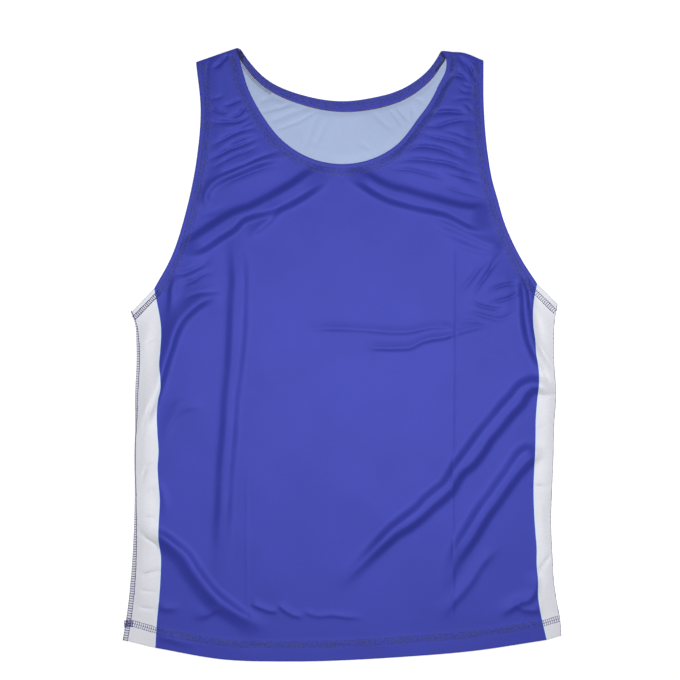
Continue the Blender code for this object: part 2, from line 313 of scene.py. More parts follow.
def clothPoints(ring, rows, fillStep, fineStep=None, isFine=None):
    # rows of points inside the ring at the given distances, then staggered points, closer where isFine
    # says so; a row leaves out the points that come nearer to the ring at its corners
    cornerShare, fillShare = 0.94, 0.3
    inward = -leftOf(np.concatenate([ring[-1:], ring, ring[:1]]))[1:-1]
    placed = []
    for row in rows:
        moved = ring + inward * row
        away = measureFrom(moved, closedRing(ring))[0]
        placed.append(moved[insideOf(moved, ring) & (away > row * cornerShare)])
    box = (ring.min(axis=0), ring.max(axis=0))
    fill = hexPoints(fillStep, box)
    fill = fill[insideOf(fill, ring)]
    if isFine is not None:
        fine = hexPoints(fineStep, box)
        fine = fine[insideOf(fine, ring)]
        fill = np.concatenate([fill[~isFine(fill)], fine[isFine(fine)]])
    fill = fill[measureFrom(fill, closedRing(ring))[0] > rows[-1] + fillStep * fillShare]
    return placed + [fill]


def smoothStep(x, low, high):
    t = np.clip((x - low) / (high - low), 0, 1)
    return t * t * (3 - 2 * t)


def hump(x):  # 1 at 0, soft down to 0 at 1
    return (1 + np.cos(np.pi * np.clip(np.abs(x), 0, 1))) / 2


def nearEdge(distance, width):  # 1 on an edge, down to 0 at the given width from it
    return (1 - np.clip(distance / width, 0, 1)) ** 2


def roundRim(distance, width):  # the same, with the round shape of a cloth's edge
    return 1 - np.sqrt(1 - nearEdge(distance, width))


def flatTriangles(ring, pointGroups):  # a flat triangulation inside the ring, faces up
    points = [Vector(p) for p in np.concatenate([ring, *pointGroups])]
    edges = [(k, (k + 1) % len(ring)) for k in range(len(ring))]
    insideOnly, samePlace = 1, 1e-4
    found, _, faces, *_ = delaunay_2d_cdt(points, edges, [], insideOnly, samePlace)
    xy = np.array([(p.x, p.y) for p in found])
    faces = np.array(faces)
    a, b, c = (xy[faces[:, k]] for k in range(3))
    turned = np.cross(b - a, c - a) < 0
    faces[turned] = faces[turned][:, ::-1]
    return xy, faces


def rimOf(faces, count):  # the edges that have a face on one side only
    edges = np.concatenate([faces[:, [0, 1]], faces[:, [1, 2]], faces[:, [2, 0]]])
    codes = edges[:, 0] * count + edges[:, 1]
    return edges[~np.isin(codes, edges[:, 1] * count + edges[:, 0])]


def clothShell(name, upper, lower, fields, materials, innerAbove=False):
    # a closed wall between two surfaces (points, faces, heights) with the same rim; fields are point
    # attributes, and the second material is on the cloth's inner side
    (xy, faces, top), (underXY, underFaces, under) = upper, lower
    a, b = rimOf(faces, len(xy)).T
    underRim = np.unique(rimOf(underFaces, len(underXY)))
    gap = ((xy[a][:, None] - underXY[underRim]) ** 2).sum(axis=2)
    pairOf = dict(zip(a.tolist(), (underRim[gap.argmin(axis=1)] + len(xy)).tolist()))
    belowA = np.array([pairOf[k] for k in a.tolist()])
    belowB = np.array([pairOf[k] for k in b.tolist()])
    sides = np.concatenate([np.stack([b, a, belowA], axis=1), np.stack([b, belowA, belowB], axis=1)])
    allFaces = np.concatenate([faces, underFaces[:, ::-1] + len(xy), sides])
    points = np.concatenate([np.column_stack([xy, top]), np.column_stack([underXY, under])]) * mm
    mesh = bpy.data.meshes.new(name)
    mesh.from_pydata(points.tolist(), [], allFaces.tolist())
    mesh.shade_smooth()
    for field, values in fields.items():
        mesh.attributes.new(field, "FLOAT", "POINT").data.foreach_set("value", values.astype(np.float32))
    for material in materials:
        mesh.materials.append(material)
    inner = np.zeros(len(allFaces), np.int32)
    if innerAbove:
        inner[:len(faces)] = 1
    else:
        inner[len(faces):len(faces) + len(underFaces)] = 1
    mesh.polygons.foreach_set("material_index", inner)
    return linkObject(name, mesh)


# materials

cloth = {
    "blue": (0.034, 0.045, 0.375),
    "white": (0.745, 0.75, 0.81),
    "dyeEdge": (0.66, 0.78, 0.93),  # where a little blue has run into the white
    "dyeReach": (0.6, 2.6),  # from the print's edge to where that blue starts to fade and is gone
    "printBlur": 0.35,  # the print's edge is this soft to each side
    "paleInside": (0.385, 0.472, 0.69),
    "roughness": 0.52,
    "sheen": 0.10,
    "sheenRoughness": 0.5,
    "gloss": 0.28,
    "satin": 0.24,  # the share of light that the smooth fibres throw back in their own colour
    "plainSatin": 0.08,  # the same on the white print and on the inside
    "waleWidth": 0.9,
    "courseHeight": 0.7,
    "loopBend": 1.6,
    "loopRelief": 0.12,
    "loopStrength": 0.12,
    "mottleScale": 14.0,  # broad unevenness of the dye
    "mottle": 0.035,
    "grainScale": 420.0,  # the fibres
    "grain": 0.02,
}
threads = {
    "stitchColour": (0.044, 0.054, 0.235),
    "navyColour": (0.020, 0.025, 0.165),
    # the shoulder seams' black thread, dark enough to be painted shadow of the gap where each seam ends as
    # well
    "seamAndShadowColour": (0.004, 0.004, 0.016),
    "looperColour": (0.115, 0.115, 0.150),
    "edgeColour": (0.150, 0.085, 0.110),
    "roughness": 0.55,
    "sheen": 0.1,
    "grainScale": 420.0,
    "dark": 0.6,  # the darkest fibres, by their colour
    "light": 1.45,  # the lightest
    "glint": 0.01,  # added to the lightest
    "seamGlint": 0.002,
}


def knitMaterial(name, colour, bandColour=None, satin=cloth["satin"]):
    material, nt, shader = startMaterial(name, {
        "Roughness": cloth["roughness"],
        "Sheen Weight": cloth["sheen"],
        "Sheen Roughness": cloth["sheenRoughness"],
        "Specular IOR Level": cloth["gloss"],
        "Metallic": satin,
    })
    place = nt.add("ShaderNodeTexCoord").outputs["Object"]
    tone = (*colour, 1)
    if bandColour:
        border = nt.add("ShaderNodeAttribute", attribute_name="sideBand").outputs["Fac"]
        blur = cloth["printBlur"]
        paler = nt.blend(nt.spread(border, *cloth["dyeReach"]), (*cloth["dyeEdge"], 1), (*bandColour, 1))
        tone = nt.blend(nt.spread(border, -blur, blur), (*colour, 1), paler)
        metallic = nt.spread(border, -blur, blur, cloth["satin"], cloth["plainSatin"])
        nt.put(shader.inputs["Metallic"], metallic)
    mottle, grain = cloth["mottle"], cloth["grain"]
    broad = nt.add("ShaderNodeTexNoise", {"Vector": place, "Scale": cloth["mottleScale"], "Detail": 3.0})
    fine = nt.add("ShaderNodeTexNoise", {"Vector": place, "Scale": cloth["grainScale"], "Detail": 2.0})
    shade = nt.maths("ADD", nt.spread(broad.outputs["Fac"], 0.3, 0.7, 1 - mottle, 1 + mottle),
                     nt.spread(fine.outputs["Fac"], 0.25, 0.75, -grain, grain))
    varied = nt.add("ShaderNodeHueSaturation", {"Color": tone, "Value": shade})
    nt.put(shader.inputs["Base Color"], varied.outputs["Color"])
    # knit: rows of small loops, wales running up the garment
    axes = nt.add("ShaderNodeSeparateXYZ", {"Vector": place}).outputs
    wale = nt.maths("SINE", nt.maths("MULTIPLY", axes["X"], 2 * np.pi / (cloth["waleWidth"] * mm)))
    arch = nt.maths("ABSOLUTE", wale)
    course = nt.maths("MULTIPLY", axes["Y"], 2 * np.pi / (cloth["courseHeight"] * mm))
    shifted = nt.maths("ADD", course, nt.maths("MULTIPLY", arch, cloth["loopBend"]))
    loops = nt.maths("MULTIPLY", arch, nt.maths("ADD", nt.maths("SINE", shifted), 2.0))
    bump = nt.add("ShaderNodeBump", {"Height": loops, "Strength": cloth["loopStrength"],
                                     "Distance": cloth["loopRelief"] * mm})
    nt.put(shader.inputs["Normal"], bump.outputs["Normal"])
    return material


def threadMaterial(name, colour, glint=threads["glint"]):
    settings = {"Roughness": threads["roughness"], "Sheen Weight": threads["sheen"]}
    material, nt, shader = startMaterial(name, settings)
    place = nt.add("ShaderNodeTexCoord").outputs["Object"]
    fibres = nt.add("ShaderNodeTexNoise", {"Vector": place, "Scale": threads["grainScale"], "Detail": 3.0})
    darkest = [c * threads["dark"] for c in colour]
    lightest = [min(1, c * threads["light"] + glint) for c in colour]
    share = nt.spread(fibres.outputs["Fac"], 0.36, 0.66)
    nt.put(shader.inputs["Base Color"], nt.blend(share, (*darkest, 1), (*lightest, 1)))
    return material


knitFront = knitMaterial("frontKnit", cloth["blue"], cloth["white"])
knitBack = knitMaterial("backKnit", cloth["blue"], cloth["white"])
knitInside = knitMaterial("insideKnit", cloth["paleInside"], satin=cloth["plainSatin"])
knitHem = knitMaterial("hemKnit", cloth["blue"])
hemThread = threadMaterial("greyBlueThread", threads["stitchColour"])
navyThread = threadMaterial("navyThread", threads["navyColour"])
# black seam thread that also paints the shadow in the gaps at the shoulder seams' ends
seamAndShadowThread = threadMaterial("blackSeamAndPaintedShadowThread", threads["seamAndShadowColour"], threads["seamGlint"])
looperThread = threadMaterial("greyLooperThread", threads["looperColour"])
edgeThread = threadMaterial("brownEdgeThread", threads["edgeColour"])
print("materials ready")

# front panel

frontPanel = {
    "meshStep": 3.3,
    "foldStep": 1.7,
    "puckerRows": (0, -0.14, 0.14, -0.3, 0.3),  # of points along a pucker, by share of its width
    "finestGap": 0.85,  # between points where puckers meet
    "pastHemRows": 0.6,  # no pucker's point lies nearer to the last hem row
    "underStep": 5.5,
    "underRows": (1.6, 4.6),
    "hemRows": (0.3, 0.8, 1.6, 2.8, 4.0, 4.7, 5.4, 6.9, 8.7, 10.4, 11.8, 12.5, 13.3),
    "top": 2.25,  # of the open cloth, above the floor
    "wall": 0.55,
    "hemWall": 1.0,  # two layers
    "hemThins": 12,  # from a side or shoulder, over which it is one layer's thickness again
    "hemRise": 0.3,
    "rimRound": 0.35,
    "rimUnder": 0.12,
    "rimWidth": 0.9,
    "rollWidth": 15,  # over which the sides and shoulders turn down to the back panel
    "rollDepth": 0.85,
    "lowest": 1.5,
    "overBack": 0.86,  # the underside's least height
    "neckHem": 13.6,
    "neckHemBlend": 1.2,  # half the width over which the turned edge ends
    "bottomHem": 25,
    "bottomHemBlend": 1.5,
    "needleLines": (4.7, 8.7, 12.6),  # from the edge, on the neck and armholes
    "bottomNeedleLines": (16, 20, 24),
    "grooveHalf": 1.3,
    "bottomGrooveHalf": 2.2,
    "stitchGroove": 0.14,
    "hemCalm": (3, 11, 0.1),  # from, to, least: folds grow from the least share between these distances
    "bottomCalm": 1.7,  # times further from the bottom edge
    "shoulderCalm": (-5, 4, 0.25),
    "deepest": -0.5,  # troughs past softBelow fade towards this depth
    "softBelow": -0.3,
    "foldShare": 0.72,  # of the heights and depths in the tables below
    "foldStart": -3,  # along a fold's path, where it starts to rise
    "foldUneven": ((0.07, 17, 1.7), (0.04, 7, 1)),  # share of its height, length, shift from fold to fold
    "swellFade": 40,
    "puckerFade": 0.4,  # of a pucker's length
    "puckerPower": 1.5,
    "footSpread": 0.6,  # how much wider a fold's feet are at its ends
    "fineShare": 0.7,  # of a foot's width, where the mesh is finest
    "crestRound": 6.5,  # from a crest to its steepest line, where a fold's two slopes are far apart
}

# each fold is (height, left foot, right foot, fade in, fade out, path): a soft ridge that melts away over
# the fades at its ends. Left and right are as seen along the path, and a foot is the width of a slope past
# its steepest line. A path's points are (x, y, distance between the steepest lines of its two slopes).
folds = {
    "left chest": [
        (7.8, 8, 8, 30, 45, ((-191, 118, 14), (-181, 124, 16), (-167, 131, 19), (-149, 143, 19),
                             (-132, 154, 19), (-119, 163, 14), (-108, 167, 13), (-94, 172, 16),
                             (-73, 181, 20), (-53, 192, 21), (-35, 204, 21), (-21, 212, 19), (-12, 219, 14))),
        (2.6, 16, 9, 20, 25, ((-111, 135, 4), (-104, 143, 4), (-94, 151, 5), (-85, 159, 5), (-75, 172, 4),
                              (-68, 181, 4))),
    ],
    "left strap": [
        (3.0, 12, 8, 12, 40, ((-160, 173, 4), (-160, 188, 4), (-154, 198, 5), (-144, 206, 6), (-129, 213, 6),
                              (-113, 221, 6), (-94, 227, 6), (-73, 231, 5), (-59, 234, 5))),
    ],
    "left armpit": [
        (6.4, 9, 26, 30, 30, ((-141, 71, 7), (-152, 68, 7), (-165, 63, 8), (-179, 53, 9), (-190, 41, 9),
                              (-198, 25, 8), (-203, 8, 7), (-208, -7, 7), (-213, -25, 7), (-218, -42, 6),
                              (-225, -61, 6), (-233, -79, 5), (-240, -94, 5))),
        (3.2, 14, 6, 12, 40, ((-192, 92, 5), (-197, 85, 5), (-199, 78, 5), (-200, 66, 5), (-201, 54, 5),
                              (-204, 38, 4))),
    ],
    "left side": [
        (3.7, 8, 8, 70, 110, ((-125, 152, 13), (-124, 131, 15), (-122, 108, 16), (-121, 87, 17),
                              (-122, 64, 18), (-124, 17, 18), (-127, -19, 16), (-131, -54, 15),
                              (-133, -89, 15), (-137, -136, 15), (-139, -177, 14), (-141, -213, 14),
                              (-142, -248, 13), (-142, -277, 11))),
        (1.8, 9, 18, 25, 30, ((-160, -60, 4), (-167, -61, 4), (-181, -62, 5), (-193, -68, 5), (-202, -79, 5),
                              (-208, -92, 5), (-215, -107, 5))),
        (1.2, 9, 18, 20, 20, ((-177, -53, 4), (-186, -55, 4), (-198, -63, 4), (-208, -72, 4))),
        (1.6, 9, 16, 12, 20, ((-219, -148, 4), (-212, -160, 4), (-209, -172, 4), (-211, -190, 4))),
    ],
    "left hem": [
        (6.4, 10, 16, 30, 50, ((-234, -202, 5), (-226, -208, 6), (-211, -216, 8), (-198, -226, 9),
                               (-185, -238, 11), (-174, -255, 11), (-163, -270, 11), (-152, -283, 11),
                               (-138, -295, 11), (-123, -305, 9), (-108, -314, 8), (-94, -321, 7),
                               (-85, -325, 6))),
        (2.4, 14, 7, 20, 12, ((-177, -309, 4), (-161, -307, 4), (-152, -302, 4), (-140, -297, 4))),
        (2.0, 14, 6, 10, 20, ((-218, -297, 4), (-207, -299, 4), (-188, -297, 4))),
        (1.8, 14, 7, 10, 25, ((-218, -335, 4), (-202, -337, 4), (-188, -342, 4), (-169, -347, 4))),
        (1.8, 10, 5, 6, 8, ((-106, -294, 2), (-94, -299, 2), (-85, -302, 2), (-75, -303, 2))),
        (1.7, 10, 5, 6, 10, ((-75, -295, 2), (-66, -302, 2), (-57, -307, 2), (-45, -309, 2))),
        (1.2, 10, 5, 8, 20, ((-45, -303, 2), (-28, -308, 2), (-12, -307, 2), (5, -309, 2), (26, -310, 2))),
    ],
    "right chest": [
        (7.2, 8, 8, 35, 30, ((3, 217, 11), (12, 212, 13), (28, 204, 15), (45, 194, 16), (59, 188, 17),
                             (74, 184, 18), (92, 179, 17), (109, 175, 16), (127, 170, 16), (141, 165, 20),
                             (155, 161, 25), (169, 160, 28), (179, 160, 28))),
        (3.0, 18, 8.5, 35, 12, ((101, 163, 5), (111, 158, 5), (127, 150, 6), (143, 143, 6), (160, 135, 6),
                                (174, 130, 6), (189, 126, 5))),
        (1.9, 14, 9, 35, 15, ((111, 144, 5), (122, 139, 5), (136, 131, 5), (151, 125, 5), (167, 121, 5),
                              (186, 119, 5))),
    ],
    "right armpit": [
        (6.0, 14, 7.5, 15, 30, ((212, 90, 5), (213, 81, 6), (215, 70, 7), (216, 58, 8), (217, 46, 9),
                                (219, 31, 9), (222, 17, 9), (227, 3, 8), (234, -12, 6), (240, -23, 5))),
    ],
    "waist creases": [
        (1.7, 13, 6.5, 40, 8, ((-49, 28, 2), (-28, 30, 2), (3, 30, 2), (35, 28, 2), (63, 26, 2), (82, 27, 2),
                               (101, 31, 2), (120, 32, 2), (131, 31, 2))),
        (2.3, 13, 6, 25, 5, ((23, 8, 2), (49, 7, 2), (68, 7, 2), (80, 8, 2), (92, 14, 2), (106, 18, 2),
                             (120, 20, 2), (132, 24, 2))),
        (1.6, 10, 5.5, 5, 20, ((133, 24, 2), (143, 27, 2), (158, 31, 2), (172, 33, 2))),
    ],
    "right side": [
        (7.2, 8, 10, 20, 90, ((252, -43, 5), (241, -41, 6), (232, -37, 11), (222, -37, 14), (214, -42, 16),
                              (205, -54, 18), (193, -67, 18), (181, -82, 18), (169, -96, 18),
                              (158, -112, 19), (147, -126, 18), (138, -135, 15), (131, -146, 14),
                              (125, -156, 15), (115, -165, 16), (103, -175, 16), (92, -186, 15),
                              (78, -197, 15), (61, -209, 13), (47, -222, 11), (33, -236, 9), (16, -253, 8),
                              (2, -267, 7), (-9, -277, 6))),
        (6.6, 7.5, 11, 20, 95, ((234, -108, 12), (226, -115, 16), (216, -121, 19), (208, -130, 18),
                                (199, -142, 16), (188, -157, 16), (179, -170, 16), (169, -183, 16),
                                (160, -197, 16), (151, -212, 16), (141, -227, 15), (132, -243, 12),
                                (127, -260, 7), (126, -280, 5), (126, -296, 4))),
        (2.2, 9, 16, 30, 30, ((186, -225, 5), (176, -234, 5), (162, -250, 5), (151, -267, 6), (139, -282, 6),
                              (127, -296, 5), (116, -314, 5))),
        (2.6, 7, 16, 15, 20, ((228, -256, 5), (226, -280, 5), (219, -289, 5), (208, -292, 5), (198, -299, 5),
                              (183, -307, 5))),
        (2.0, 14, 7, 6, 8, ((203, -293, 4), (214, -300, 4), (223, -301, 4), (235, -301, 4))),
    ],
    "packing creases": [
        (0.8, 2.4, 2.4, 30, 20, ((131, 139, 1), (131, 17, 1), (130, -148, 1), (131, -315, 1))),
        (0.4, 3, 3, 30, 10, ((-112, -136, 1), (-112, -230, 1), (-111, -317, 1))),
    ],
    "left white band": [
        (1.0, 18, 14, 20, 25, ((-222, 50, 4), (-229, 23, 5), (-237, -5, 5), (-240, -35, 4))),
    ],
    "right white band": [
        (0.8, 16, 7, 8, 8, ((227, 59, 4), (233, 45, 4), (240, 26, 4))),
        (0.7, 7, 14, 10, 14, ((233, -177, 4), (235, -197, 4), (238, -225, 4))),
    ],
}

# each pucker is (depth, width, path): a narrow trough, sharp along its bottom, between small folds
puckers = {
    "left strap": [
        (4.2, 7.5, ((-152, 336), (-146, 340), (-141, 345), (-134, 354))),
        (1.2, 7, ((-137, 350), (-128, 350), (-121, 346))),
        (1.2, 8, ((-158, 301), (-148, 301), (-139, 305))),
        (1.9, 7, ((-141, 292), (-132, 294), (-122, 298), (-112, 299))),
        (2.0, 8, ((-158, 291), (-151, 288), (-144, 285), (-134, 284))),
        (2.5, 9, ((-109, 294), (-117, 287), (-119, 284), (-125, 280), (-137, 279))),
        (3.0, 10, ((-159, 274), (-148, 273), (-134, 273), (-122, 274), (-113, 278), (-105, 285))),
        (1.6, 7, ((-137, 263), (-125, 265), (-113, 270), (-101, 277))),
        (2.6, 10, ((-159, 245), (-151, 247), (-141, 252), (-132, 257), (-120, 262), (-108, 265), (-97, 268))),
        (1.7, 7, ((-141, 241), (-129, 248), (-117, 253), (-102, 259))),
        (3.1, 10, ((-161, 229), (-153, 231), (-144, 235), (-132, 241), (-120, 245), (-108, 250), (-94, 257))),
        (1.7, 7, ((-160, 219), (-151, 221), (-139, 227), (-125, 234), (-108, 240), (-94, 248))),
        (2.3, 10, ((-164, 200), (-158, 204), (-149, 209), (-138, 214), (-126, 219), (-113, 224), (-97, 231),
                   (-80, 237), (-62, 244))),
        (1.9, 10, ((-157, 192), (-147, 196), (-134, 203), (-120, 209), (-107, 214), (-94, 219), (-80, 223),
                   (-64, 227))),
        (1.2, 9, ((-168, 165), (-155, 166), (-141, 172), (-129, 177))),
        (1.6, 6, ((-157, 313), (-159, 327), (-158, 341), (-157, 350))),
    ],
    "left armpit": [
        (2.5, 10, ((-200, 95), (-186, 95), (-178, 98), (-168, 103), (-153, 113))),
        (1.7, 10, ((-195, 75), (-184, 83), (-174, 87), (-165, 93), (-148, 97))),
        (1.5, 10, ((-188, 63), (-177, 69), (-165, 72), (-153, 73), (-139, 74))),
    ],
    "right strap": [
        (6.0, 9, ((111, 299), (115, 311), (120, 318), (126, 327))),
        (5.4, 8.5, ((115, 311), (121, 318), (126, 325), (132, 328), (139, 327), (149, 321))),
        (3.6, 8, ((160, 320), (155, 328), (149, 338), (142, 346), (136, 353))),
        (1.6, 6, ((151, 327), (146, 335), (140, 344), (135, 350))),
        (1.7, 6, ((122, 334), (128, 330), (134, 331), (141, 334))),
        (1.9, 6, ((138, 313), (143, 309), (151, 308), (156, 310))),
        (1.2, 6, ((141, 319), (148, 315), (155, 315))),
        (1.6, 6, ((129, 298), (136, 300), (146, 301), (156, 301))),
        (1.4, 6, ((143, 295), (148, 292), (153, 286))),
        (3.9, 10, ((101, 282), (111, 284), (120, 285), (129, 285), (139, 284), (151, 282))),
        (2.8, 10, ((92, 266), (103, 268), (115, 269), (127, 273), (139, 275), (153, 275), (162, 274))),
        (2.3, 10, ((87, 264), (99, 259), (111, 255), (122, 253), (134, 250), (146, 245), (162, 241))),
        (1.4, 7, ((120, 263), (134, 260), (148, 255), (162, 253))),
        (3.1, 10, ((66, 237), (78, 241), (89, 244), (101, 244), (113, 242), (127, 237), (141, 231),
                   (155, 226))),
        (2.8, 10, ((54, 223), (66, 227), (78, 229), (92, 229), (108, 227), (125, 224), (139, 219),
                   (153, 214), (167, 210))),
        (1.6, 8, ((49, 223), (63, 218), (80, 217), (96, 213), (115, 208), (129, 204))),
        (1.4, 7, ((120, 215), (136, 210), (151, 206), (166, 201))),
        (1.2, 8, ((115, 201), (134, 193), (151, 188), (167, 184))),
    ],
    "right armpit": [
        (2.5, 7, ((205, 101), (212, 91), (217, 80), (220, 67), (221, 45))),
        (2.3, 10, ((152, 64), (159, 77), (166, 88), (174, 99), (182, 111), (193, 121))),
        (1.4, 10, ((136, 67), (148, 84), (160, 99), (173, 114))),
        (2.3, 8, ((173, 73), (183, 79), (194, 82), (209, 83))),
        (2.2, 8, ((172, 60), (186, 63), (199, 67), (212, 75))),
        (1.7, 8, ((147, 65), (160, 58), (174, 54), (194, 53))),
        (1.7, 8, ((143, 50), (160, 47), (174, 43), (186, 41), (195, 44), (206, 53))),
        (1.2, 8, ((134, 38), (153, 39), (172, 36))),
    ],
    "left white band": [
        (0.8, 5, ((-235, 11), (-227, 15), (-218, 19))),
        (2.1, 9, ((-215, -40), (-220, -50), (-225, -60), (-231, -75), (-235, -99))),
        (1.2, 7, ((-237, -150), (-233, -141), (-231, -134), (-222, -129))),
        (0.9, 6, ((-239, -167), (-229, -162), (-221, -157))),
        (1.0, 7, ((-241, -195), (-232, -193), (-220, -192))),
        (1.8, 8, ((-242, -205), (-231, -216), (-219, -225), (-214, -232))),
        (1.8, 7, ((-240, -261), (-228, -258), (-213, -254))),
        (0.8, 7, ((-242, -276), (-231, -279), (-218, -279))),
        (0.9, 7, ((-245, -296), (-232, -299), (-217, -300))),
    ],
    "right white band": [
        (1.1, 5, ((228, 15), (239, -4), (245, -13), (252, -21))),
        (1.3, 5, ((232, -13), (238, -22), (246, -35))),
        (2.4, 6, ((229, -48), (240, -49), (253, -48))),
        (0.7, 9, ((228, -90), (243, -83))),
        (1.1, 6, ((228, -113), (239, -113), (248, -113))),
        (2.2, 7, ((223, -155), (234, -156), (248, -155))),
        (2.2, 7, ((247, -235), (239, -245), (234, -253), (232, -261))),
    ],
}

# each swell is (height, slope, path): the loose cloth, pushed up, that the puckers lie in
swells = {
    "left strap": (2.8, 26, ((-141, 388, 16), (-140, 346, 21), (-137, 305, 28), (-131, 275, 40),
                             (-122, 246, 52), (-113, 219, 66), (-108, 193, 52))),
    "right strap": (3.9, 26, ((142, 388, 16), (140, 346, 24), (133, 299, 33), (126, 270, 45), (115, 240, 64),
                              (103, 217, 82), (96, 195, 59))),
    "left armpit": (1.8, 24, ((-155, 120, 12), (-177, 92, 19), (-186, 64, 21))),
    "right armpit": (2.2, 24, ((186, 123, 19), (179, 87, 35), (176, 64, 42), (172, 33, 28))),
    "left white band": (1.3, 12, ((-228, 28, 9), (-229, -113, 12), (-231, -242, 14), (-234, -319, 14))),
    "right white band": (1.3, 12, ((238, 52, 9), (242, -54, 9), (238, -172, 12), (243, -301, 9))),
}


def creaseRows():  # every fold, as in the table above, and every pucker in the same form, with nothing apart
    for group in folds.values():
        yield from group
    for group in puckers.values():
        for depth, width, path in group:
            fade = frontPanel["puckerFade"] * lengthAlong(np.array(path, float))[-1]
            yield -depth, width / 2, width / 2, fade, fade, [(x, y, 0) for x, y in path]


def acrossCrease(points, line, widest):  # which points are near a crease, and how they lie to it
    low, high = line[:, :2].min(axis=0) - widest, line[:, :2].max(axis=0) + widest
    near = ((points > low) & (points < high)).all(axis=1)
    if not near.any():
        return near, None, None, None, None
    away, side, along = measureFrom(points[near], line)
    return near, away, side, along, np.interp(along, lengthAlong(line), line[:, 2])


def sineFall(x):  # from 0 at 0 to 1 at 1, steepest at the start, and the same back to -1
    return x + np.sin(np.pi * x) / np.pi


def ridge(away, apart, foot):  # 1 on the crest, steepest half of apart from it, 0 a foot's width past that
    inner = np.clip(apart / 2, 1, frontPanel["crestRound"])
    past = away - apart / 2
    crest = 1 + sineFall(np.clip(past / inner, -1, 0))
    slope = sineFall(np.clip(past / foot, 0, 1))
    return 1 - (inner * crest + foot * slope) / (inner + foot)


def foldLift(points):
    p = frontPanel
    lift = np.zeros(len(points))
    fade, start, spread = p["swellFade"], p["foldStart"], p["footSpread"]
    rows = [(height, slope, slope, fade, fade, path) for height, slope, path in swells.values()]
    for count, (height, leftFoot, rightFoot, fadeIn, fadeOut, path) in enumerate([*rows, *creaseRows()]):
        line = smoothCurve(path, 1.0)
        widest = line[:, 2].max() / 2 + (1 + spread) * max(leftFoot, rightFoot)
        near, away, side, along, apart = acrossCrease(points, line, widest)
        if away is None:
            continue
        left = lengthAlong(line)[-1] - along
        ends = smoothStep(along, start, fadeIn) * smoothStep(left, start, fadeOut)
        uneven = 1 + sum(share * np.sin(along / length + count * shift)
                         for share, length, shift in p["foldUneven"])
        foot = np.where(side > 0, leftFoot, rightFoot) * (1 + spread - spread * ends)
        if height > 0:
            form = ridge(away, apart, foot)
        else:
            form = np.clip(1 - away / foot, 0, 1) ** p["puckerPower"]
        lift[near] += height * ends * uneven * form
    return lift * p["foldShare"]


def creased(points):  # whether each point lies on or beside a crease, where the mesh is finest
    found = np.zeros(len(points), bool)
    for _, leftFoot, rightFoot, _, _, path in creaseRows():
        line = smoothCurve(path, 2.0)
        widest = line[:, 2].max() / 2 + max(leftFoot, rightFoot)
        near, away, side, along, apart = acrossCrease(points, line, widest)
        if away is not None:
            foot = np.where(side > 0, leftFoot, rightFoot)
            found[near] |= away < apart / 2 + foot * frontPanel["fineShare"]
    return found


def puckerPoints(step):  # rows of points that follow each pucker, so that its bottom is sharp
    rows = []
    for group in puckers.values():
        for _, width, path in group:
            line = smoothCurve(path, step)
            rows += [line + leftOf(line) * share * width for share in frontPanel["puckerRows"]]
    return np.concatenate(rows)


def firstInCell(points, size):  # thins points out to one in each small square, the first ones first
    _, kept = np.unique(np.floor(points / size), axis=0, return_index=True)
    return points[np.sort(kept)]


def openWaves(points):  # the faint unevenness of cloth lying loose
    x, y = points.T
    return (0.16 * np.sin(x / 31 + 1.3 * np.sin(y / 83)) * np.cos(y / 57 + 0.4)
            + 0.10 * np.sin((x + y) / 19 + 2 * np.cos(x / 71)) * np.sin(y / 41 + 1)
            + 0.05 * np.sin(x / 9.5 + np.sin(y / 17)) * np.cos(y / 12.5))


def edgeDistances(xy):  # from each point to each stretch of the front panel's edge
    stretches = {
        "neck": ["frontNeck"],
        "leftArmhole": ["leftArmholeWhite", "leftArmhole"],
        "rightArmhole": ["rightArmhole", "rightArmholeWhite"],
        "bottom": ["hemRightWhite", "hemBlue", "hemLeftWhite"],
        "leftSide": ["leftSide"],
        "rightSide": ["rightSide"],
        "leftShoulder": ["leftShoulder", "leftNeckCorner"],
        "rightShoulder": ["rightShoulder"],
    }
    return {name: measureFrom(xy, joined(lines, 1.0))[0] for name, lines in stretches.items()}


def calmNear(distance, calm):  # the share of a fold's height that it keeps near an edge
    low, high, least = calm
    return smoothStep(distance, low, high) * (1 - least) + least


def frontForm(xy):  # the cloth's height, its thickness and its distance from the edge
    p = frontPanel
    distance = edgeDistances(xy)
    bottom = distance["bottom"]
    turned = np.minimum.reduce([distance[k] for k in ("neck", "leftArmhole", "rightArmhole")])
    shoulder = np.minimum(distance["leftShoulder"], distance["rightShoulder"])
    seamed = np.minimum.reduce([distance["leftSide"], distance["rightSide"], shoulder])
    edge = np.minimum.reduce(list(distance.values()))
    hem = 1 - np.minimum(smoothStep(turned - p["neckHem"], -p["neckHemBlend"], p["neckHemBlend"]),
                         smoothStep(bottom - p["bottomHem"], -p["bottomHemBlend"], p["bottomHemBlend"]))
    calm = np.minimum(calmNear(np.minimum(turned, bottom / p["bottomCalm"]), p["hemCalm"]),
                      calmNear(shoulder, p["shoulderCalm"]))
    loose = foldLift(xy) + openWaves(xy)
    soft, deepest = p["softBelow"], p["deepest"]
    sunk = deepest + (soft - deepest) * np.exp((np.minimum(loose, soft) - soft) / (soft - deepest))
    loose = np.where(loose > soft, loose, sunk)
    groove = sum(hump((turned - d) / p["grooveHalf"]) for d in p["needleLines"])
    groove = groove + sum(hump((bottom - d) / p["bottomGrooveHalf"]) for d in p["bottomNeedleLines"])
    top = p["top"] + p["hemRise"] * hem + loose * calm - p["stitchGroove"] * groove
    top = np.maximum(top - p["rollDepth"] * nearEdge(seamed, p["rollWidth"]), p["lowest"])
    wall = p["wall"] + (p["hemWall"] - p["wall"]) * hem * smoothStep(seamed, 0, p["hemThins"])
    return top, wall, edge


def bandDistance(xy):  # signed distance from the blue and white border, + in the white
    # both borders run down the garment, so the left white lies to the right of its line
    leftBand = measureFrom(xy, smoothCurve(pattern["leftBorder"], 1.0))[1]
    rightBand = measureFrom(xy, smoothCurve(pattern["rightBorder"], 1.0))[1]
    return np.maximum(-leftBand, rightBand)


